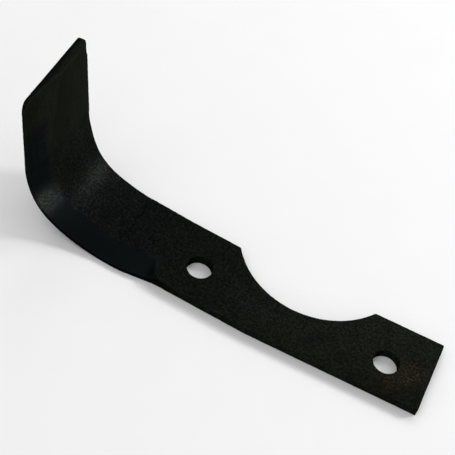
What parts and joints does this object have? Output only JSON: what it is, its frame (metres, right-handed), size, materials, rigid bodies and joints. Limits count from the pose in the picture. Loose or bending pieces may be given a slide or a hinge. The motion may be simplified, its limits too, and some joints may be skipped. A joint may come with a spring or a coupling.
{
  "type": "rotary tiller blade",
  "caption": "Forged steel tiller tine: a flat bowed bar with bolt holes either side of a hub notch, bevelled along one edge and bent up into a short wing.",
  "frame": {"origin": "on the back face, half-way between the two bolt holes", "axes": "+X from the wing-side bolt hole to the end-side one, +Y across the bar towards the hub notch, +Z out of the front face, the way the wing rises"},
  "size_m": [0.2161, 0.0497, 0.0848],
  "materials": {
    "scaled_steel": "black forging scale, faintly rusted"
  },
  "bodies": {
    "root": {"tiller_blade": "scaled_steel"}
  },
  "joints": []
}
